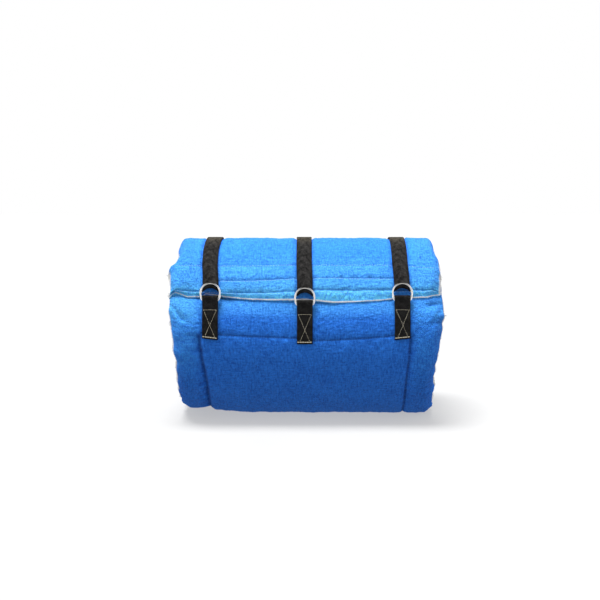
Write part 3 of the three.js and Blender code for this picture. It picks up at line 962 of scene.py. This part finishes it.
def make_wrap():
    loops = np.concatenate([OUTER, INNER], axis=1)
    rows, count = loops.shape[:2]
    x = loops[..., 0]
    angle = np.repeat(with_lips(STATIONS, LIP_TURNS)[:, None], count, axis=1)
    arc = angle * DEGREE
    attributes = {
        "weave": np.stack([x, arc, 0 * arc], axis=-1),
        "fray": fray_share(angle, x),
        # Share of painted light, a paler blue
        "pale": painted_light_share(angle, x),
        # Share of painted light on the cuffs
        "cuff_painted_light": cuff_painted_light_share(angle, x),
        # Share of painted shade in the sewn lines
        "painted_seam_shade": painted_seam_shade(angle, x),
        "nap": nap_strength(angle, x),
    }
    polygons = loop_quads(rows, count) + end_caps(rows, count)
    wrap = new_piece("quilted_wrap", loops.reshape(-1, 3), polygons, CLOTH, attributes)
    fix_facing(wrap)
    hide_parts("insulated_wrap")


def web_columns():
    """Offsets across a web, close together at its rounded edges, and the share of its thickness there."""
    half = WEB_WIDTH / 2
    edge = half - WEB / 2 * (1 - np.cos(np.linspace(0, math.pi / 2, 5)))
    offsets = np.concatenate([-edge, np.linspace(-half + WEB, half - WEB, 9), edge[::-1]])
    share = np.sqrt(np.clip(1 - np.clip((np.abs(offsets) - half + WEB / 2) / (WEB / 2), 0, 1) ** 2, 0, 1))
    return offsets, share


def make_band(name, x, paths, node, painted_web_light):
    """Webbing along one path in the cross-section for each column across it, closed at both ends.

    Its middle lies at x along the axis, one value or one for each row of the paths.
    """
    offsets, share = web_columns()
    lines = np.stack(paths, axis=1)
    rows, columns = lines.shape[:2]
    places = np.broadcast_to(x, rows)[:, None] + offsets
    middle = np.concatenate([places[..., None], lines], axis=-1)
    along = unit(np.gradient(lines, axis=0))
    outward = np.stack([0 * along[..., 0], -along[..., 1], along[..., 0]], axis=-1)
    lift = outward * (share * WEB / 2)[None, :, None]
    loops = np.concatenate([middle + lift, (middle - lift)[:, -2:0:-1]], axis=1)
    travel = np.cumsum(np.linalg.norm(np.diff(lines, axis=0, prepend=lines[:1]), axis=-1), axis=0)
    flat = np.stack([np.broadcast_to(offsets, (rows, columns)), travel, 0 * travel], axis=-1)
    count = loops.shape[1]
    attributes = {
        "weave": np.concatenate([flat, flat[:, -2:0:-1]], axis=1),
        # Share of painted light and painted highlight on the webbing
        "painted_web_light": np.broadcast_to(painted_web_light, rows)[:, None] + np.zeros(count),
    }
    polygons = loop_quads(rows, count) + end_caps(rows, count)
    band = new_piece(name, loops.reshape(-1, 3), polygons, WEBBING, attributes)
    fix_facing(band)
    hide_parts(node)


def seat_radius(angle, x, reach):
    """Outer radius that webbing lies on, flat across and bridging hollows along its length."""
    across = np.linspace(-0.5, 0.5, 7) * WEB_WIDTH
    along = np.linspace(-reach, reach, 9)
    spots = (np.asarray(angle)[:, None] + along)[..., None] + 0 * across
    columns = np.broadcast_to(x, len(spots))[:, None, None] + across + 0 * spots
    points = on_cloth(station_at(spots, columns), columns)
    return np.hypot(points[..., 1], points[..., 2] - AXIS_HEIGHT).max(axis=(1, 2))


def section(angle, radius):
    return around(angle, radius, 0)[..., 1:]


def spoke_angle(spoke):
    """Angle of a way out from the axis, given as y and z."""
    return math.degrees(math.atan2(spoke[1], -spoke[0]))


class Ring:
    """A D-ring's place, read from its CAD node: the middle of its arc, its way up and its normal."""

    def __init__(self, node):
        points = np.array([vertex.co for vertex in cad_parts[node].data.vertices]) / METRE
        flat = points[:, 1:]
        _, _, axes = np.linalg.svd(flat - flat.mean(axis=0), full_matrices=False)
        self.up = axes[0] * np.sign(axes[0][1])
        self.normal = np.array([-self.up[1], self.up[0]])
        self.x = (points[:, 0].min() + points[:, 0].max()) / 2
        top = (flat @ self.up).max() - RING_RADIUS - WIRE
        level = ((flat @ self.normal).min() + (flat @ self.normal).max()) / 2
        self.middle = top * self.up + level * self.normal
        self.bar = self.middle - RING_BAR_DROP * self.up

    def arc_point(self, offset):
        return self.middle + math.sqrt(RING_RADIUS ** 2 - offset ** 2) * self.up


def ring_outline():
    """A D round the middle of its arc, with the bar below: the arc, then the two corners."""
    corner_y = RING_CORNER - RING_BAR_DROP
    corner_x = math.sqrt((RING_RADIUS - RING_CORNER) ** 2 - corner_y ** 2)
    tangent = math.atan2(corner_y, corner_x)
    # Arcs: middle, radius, start, end, steps
    runs = (
        (0, 0, RING_RADIUS, tangent, math.pi - tangent, 72),
        (-corner_x, corner_y, RING_CORNER, math.pi - tangent, 1.5 * math.pi, 12),
        (corner_x, corner_y, RING_CORNER, 1.5 * math.pi, 2 * math.pi + tangent, 12),
    )
    points = []
    for x, y, radius, start, end, count in runs:
        turn = np.linspace(start, end, count + 1)[:-1]
        points.append(np.stack([x + radius * np.cos(turn), y + radius * np.sin(turn)], axis=-1))
    return np.concatenate(points)


def make_ring(node):
    ring = Ring(node)
    outline = ring_outline()
    tangent = unit(np.roll(outline, -1, axis=0) - np.roll(outline, 1, axis=0))
    side = np.stack([tangent[:, 1], -tangent[:, 0]], axis=-1)
    turns = np.linspace(0, 2 * math.pi, 14, endpoint=False)
    plane = outline[:, None, :] + WIRE_SHOWN * np.cos(turns)[None, :, None] * side[:, None, :]
    rise = np.broadcast_to(WIRE_SHOWN * np.sin(turns)[None, :, None], plane.shape[:2] + (1,))
    section_yz = ring.middle + plane[..., 1:2] * ring.up + rise * ring.normal
    points = np.concatenate([ring.x + plane[..., :1], section_yz], axis=-1)
    polygons = loop_quads(len(outline), len(turns), closed_rows=True)
    piece = new_piece(node + "_wire", points.reshape(-1, 3), polygons, NICKEL)
    fix_facing(piece)
    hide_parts(node)


def tab_top(x):
    return float(bowed(FLAP_EDGE, x)) + 360 - TAB_TO_FLAP


def make_tab(closure, inner, outer):
    """Two layers of webbing on the cloth, folded round the bars of both rings."""
    middle = (inner.bar + outer.bar) / 2
    out = unit(middle - AXIS)
    up = np.array([out[1], -out[0]])
    loop = 2 * WIRE_SHOWN + 2 * FIT_GAP + WEB / 2
    forward = np.outer(RING_STAGGER + loop * np.cos(HALF_TURN), up)
    fold = middle + forward + np.outer(loop * np.sin(HALF_TURN), out)
    paths = []
    for offset in web_columns()[0]:
        foot = tab_top(closure.x) - TAB_SPAN - closure.tilt * offset / (WEB_WIDTH / 2)
        runs = np.linspace(foot, spoke_angle(out) - TAB_HEAD, 44)
        seat = seat_radius(runs, closure.x, TAB_REACH)
        lower = section(runs, seat + FIT_GAP + WEB / 2)
        upper = section(runs, seat + 2 * FIT_GAP + 1.5 * WEB)[::-1]
        paths.append(np.concatenate([lower, fold, upper]))
    # The tabs get no painted light.
    make_band("tab_web_" + closure.name, closure.x, paths, "tab_" + closure.name, painted_web_light=0)


def make_strap(closure, inner):
    """Webbing from its sewn end at the back over the top, round the inner ring's arc and back over itself."""
    clear = WIRE + FIT_GAP + WEB / 2
    paths = []
    for offset in web_columns()[0]:
        arc = inner.arc_point(offset)
        arc_angle = spoke_angle(arc - AXIS)
        slant = math.sqrt(1 - (offset / RING_RADIUS) ** 2)
        length = clear + WIRE / slant - WIRE
        inward = np.outer(length * np.cos(HALF_TURN), inner.up)
        fold = arc - inward + np.outer(clear * np.sin(HALF_TURN), inner.normal)
        lower = np.linspace(STRAP_ANCHOR, arc_angle + FOLD_LEAD, 110)
        tail = np.linspace(arc_angle + TAIL_LEAD, STRAP_TAIL, 60)
        lower_place = strap_place(lower, closure)
        tail_place = strap_place(tail, closure)
        lower_seat = seat_radius(lower - 360, lower_place, STRAP_REACH)
        tail_seat = seat_radius(tail - 360, tail_place, STRAP_REACH)
        places = np.concatenate([lower_place, np.full(len(fold), closure.x), tail_place])
        paths.append(np.concatenate([
            section(lower, lower_seat + FIT_GAP + WEB / 2),
            fold,
            section(tail, tail_seat + 2 * FIT_GAP + 1.5 * WEB),
        ]))
    # Painted light: straps are painted lighter than the tabs, with a painted highlight where they cross the
    # top.
    painted_highlight_on_top = [bell(run - 88, 12) for run in (lower, tail)]
    painted_web_light = 0.5 + 0.5 * np.concatenate([painted_highlight_on_top[0], np.zeros(len(fold)), painted_highlight_on_top[1]])
    make_band("strap_web_" + closure.name, places, paths, "strap_" + closure.name, painted_web_light)


def strands(name, starts, ends, bends, radii, material, sides=5, segments=4):
    """Many short bent threads as one mesh: each from a start to an end, bowed by its bend."""
    share = np.linspace(0, 1, segments + 1)[None, :, None]
    bow = 4 * share * (1 - share)
    line = starts[:, None] * (1 - share) + ends[:, None] * share + bends[:, None] * bow
    along = unit(np.gradient(line, axis=1))
    helper = np.where(np.abs(along[..., :1]) < 0.8, np.array([1.0, 0, 0]), np.array([0, 0, 1.0]))
    side = unit(np.cross(along, helper))
    other = np.cross(along, side)
    turns = np.linspace(0, 2 * math.pi, sides, endpoint=False)
    taper = np.linspace(1, 0.55, segments + 1)[None, :, None, None]
    ring = np.cos(turns)[:, None] * side[..., None, :] + np.sin(turns)[:, None] * other[..., None, :]
    points = line[..., None, :] + ring * radii[:, None, None, None] * taper
    first_points = (segments + 1) * sides * np.arange(len(starts))
    quads = np.array(loop_quads(segments + 1, sides))
    polygons = (quads[None] + first_points[:, None, None]).reshape(-1, 4).tolist()
    for cap in end_caps(segments + 1, sides):
        polygons += (np.array(cap)[None] + first_points[:, None]).tolist()
    new_piece(name, points.reshape(-1, 3), polygons, material)


def make_stitches(name, lines, material, radius):
    """A row of threads along each line of stations and places, lying on the cloth."""
    starts, ends, bends = [], [], []
    for stations, places in lines:
        points = on_cloth(stations, places)
        travel = np.concatenate([[0], np.cumsum(np.linalg.norm(np.diff(points, axis=0), axis=1))])
        begin = np.arange(0, travel[-1] - STITCH_LENGTH, STITCH_LENGTH + STITCH_GAP)
        for spot, target in ((begin, starts), (begin + STITCH_LENGTH, ends)):
            target.append(on_cloth(np.interp(spot, travel, stations), np.interp(spot, travel, places)))
        normal = cloth_normal(np.interp(begin, travel, stations), np.interp(begin, travel, places))
        bends.append(normal * STITCH_LIFT)
    starts, ends, bends = map(np.concatenate, (starts, ends, bends))
    strands(name, starts, ends, bends, np.full(len(starts), radius), material)


def make_seam_stitches():
    pale, dark = [], []
    for seam in SEAMS:
        reach = seam.half - SEAM_FADE
        places = np.arange(-reach, reach, 1.5)
        (pale if seam.angle == FLAP_SEAM else dark).append((np.full(places.shape, seam.angle), places))
        if seam.angle in (SHORT_ROW, LONG_ROW):
            pale.append((np.full(places.shape, seam.angle - PALE_ROW_BELOW), places))
    cuff = np.arange(PAD_SEAM - 2, FLAP_SEAM + 2, -0.5)
    hem = np.arange(14, FLAP_EDGE + 2, -0.5)
    for side in (-1, 1):
        dark.append((cuff, side * cuff_seam(cuff, side)))
        dark.append((hem, side * (end_reach(hem, side) - HEM_INSET)))
    make_stitches("pale_stitches", pale, PALE_THREAD, radius=0.28)
    make_stitches("blue_stitches", dark, BLUE_THREAD, radius=0.26)


def make_fringe():
    """Loose white yarn ends along the raw edges of the flap and both ends of the wrap."""
    draw = np.random.default_rng(7)
    edge_x = draw.uniform(-226, 226, EDGE_YARNS)
    ends = [draw.uniform(FLAP_EDGE, 26, END_YARNS) for _ in range(2)]
    tufts = [draw.normal(tuft.station, tuft.spread, TUFT_SIZE) for tuft in TUFTS]
    tuft_side = np.repeat([tuft.side for tuft in TUFTS], TUFT_SIZE)
    station = np.concatenate([np.full(edge_x.shape, FLAP_EDGE + 0.2), *ends, *tufts])
    side = np.concatenate([np.sign(edge_x), np.repeat([-1.0, 1.0], END_YARNS), tuft_side])
    count = len(station)
    on_edge = np.arange(count) < len(edge_x)
    loose = np.arange(count) >= count - len(tuft_side)
    x = side * (end_reach(station, side) - 0.4)
    x[on_edge] = edge_x
    root = on_cloth(station, x)
    normal = cloth_normal(station, x)
    along = unit(on_cloth(station - 0.4, x) - on_cloth(station + 0.4, x))
    outward = np.where(on_edge[:, None], along, side[:, None] * np.array([[1.0, 0, 0]]))
    sideways = np.cross(outward, normal)
    length = 0.5 + draw.gamma(2.0, 0.45, count) * np.where(loose, 2.0, 1.0)
    tilt = draw.normal(0.1, 0.35, (count, 1))
    swing = draw.normal(0, 0.5, (count, 1))
    tips = root + unit(outward + normal * tilt + sideways * swing) * length[:, None]
    starts = root - outward * 1.2 - normal * 0.3
    bends = normal * draw.normal(0, 0.3, (count, 1)) + sideways * draw.normal(0, 0.4, (count, 1))
    tips[:, 2] = np.maximum(tips[:, 2], 0.3)
    radii = draw.uniform(0.13, 0.28, count)
    strands("frayed_yarn", starts, tips, bends, radii, WHITE_YARN, sides=3, segments=3)


def make_tab_stitches(closure):
    """The sewn cross on a tab, with a line above it and a heavy one below."""
    top = tab_top(closure.x) - 9.2
    bottom = tab_top(closure.x) - 26.0
    half, foot, line = 11.0, 8.5, 12.2
    left, right = bottom + closure.tilt, bottom - closure.tilt
    lift = 2 * FIT_GAP + 2 * WEB
    # Lines: angle and offset where they start and where they end, radius of the thread, passes
    runs = (
        (top, -half, top, half, 0.19, 1),
        (top, -half, right, foot, 0.17, 1),
        (top, half, left, -foot, 0.17, 1),
        (left, -line, right, line, 0.34, 2),
    )
    starts, ends, radii = [], [], []
    for angle0, offset0, angle1, offset1, radius, passes in runs:
        size = math.hypot((angle1 - angle0) * DEGREE, offset1 - offset0)
        count = int(size / 4.2) + 1
        begin = np.arange(count) / count
        for sweep in range(passes):
            shift = sweep * 0.6 / DEGREE
            for share, target in ((begin, starts), (begin + 0.8 / count, ends)):
                angle = angle0 + (angle1 - angle0) * share - shift
                offset = offset0 + (offset1 - offset0) * share
                seat = seat_radius(angle, closure.x, TAB_REACH) + lift
                target.append(around(angle, seat, closure.x + offset))
            radii.append(np.full(count, radius))
    starts, ends, radii = map(np.concatenate, (starts, ends, radii))
    outward = unit(starts * np.array([0, 1, 1]) - np.array([0, *AXIS]))
    name = "tab_stitches_" + closure.name
    strands(name, starts, ends, outward * 0.3, radii, TAN_THREAD)


def make_closure(closure):
    nodes = [f"d_ring_{closure.name}_{layer}" for layer in ("inner", "outer")]
    inner, outer = map(Ring, nodes)
    make_strap(closure, inner)
    make_tab(closure, inner, outer)
    make_tab_stitches(closure)
    for node in nodes:
        make_ring(node)


def make_floor():
    bpy.ops.mesh.primitive_plane_add(size=12, location=(0, 0, 0))
    floor = bpy.context.object
    floor.name = "floor"
    floor.data.materials.append(floor_material())
    floor.visible_diffuse = False


def make_key_light():
    """A broad soft light from overhead."""
    data = bpy.data.lights.new("key", "SUN")
    data.energy = KEY_POWER
    data.angle = KEY_SPREAD
    light = bpy.data.objects.new("key", data)
    light.rotation_euler = (-Vector(KEY_FROM)).to_track_quat("-Z", "Y").to_euler()
    light.visible_glossy = False
    bpy.context.scene.collection.objects.link(light)


def make_world():
    """Soft light from above, little from below, bright sides for metal to mirror, and a white background."""
    world = bpy.data.worlds.new("studio")
    world.use_nodes = True
    nodes = Nodes(world.node_tree)
    way = nodes.add("SeparateXYZ", {0: nodes.add("TexCoord").outputs["Generated"]}).outputs
    sky = nodes.remap(way["Z"], -0.2, 0.2, SKY_BELOW, SKY_ABOVE)
    sides = nodes.remap(nodes.math("ABSOLUTE", way["X"]), 0.2, 0.6, GLOSS_FRONT, GLOSS_SIDES)
    rays = nodes.add("LightPath").outputs
    mirrored = nodes.blend(rays["Is Glossy Ray"], sky, sides)
    background = world.node_tree.nodes["Background"].inputs
    nodes.feed(background["Color"], rgb(1, 1, 1))
    nodes.feed(background["Strength"], nodes.blend(rays["Is Camera Ray"], mirrored, 1.0))
    bpy.context.scene.world = world


def make_camera():
    data = bpy.data.cameras.new("camera")
    data.sensor_width = SENSOR
    data.lens = SENSOR * VIEW_DISTANCE / (VIEW_SCALE * PICTURE_WIDTH)
    data.shift_x = -AXIS_RIGHT_PIXELS / PICTURE_WIDTH
    data.shift_y = AXIS_DOWN_PIXELS / PICTURE_WIDTH
    camera = bpy.data.objects.new("camera", data)
    aim = Vector((0, 0, AXIS_HEIGHT * METRE))
    back = Vector((0, -math.cos(VIEW_ELEVATION), math.sin(VIEW_ELEVATION)))
    camera.location = aim + VIEW_DISTANCE * back
    camera.rotation_euler = (-back).to_track_quat("-Z", "Y").to_euler()
    bpy.context.scene.collection.objects.link(camera)
    bpy.context.scene.camera = camera


make_camera()
make_world()
make_floor()
make_key_light()
make_wrap()
make_seam_stitches()
make_fringe()
for closure in CLOSURES:
    make_closure(closure)
bpy.context.scene.view_settings.view_transform = "Standard"
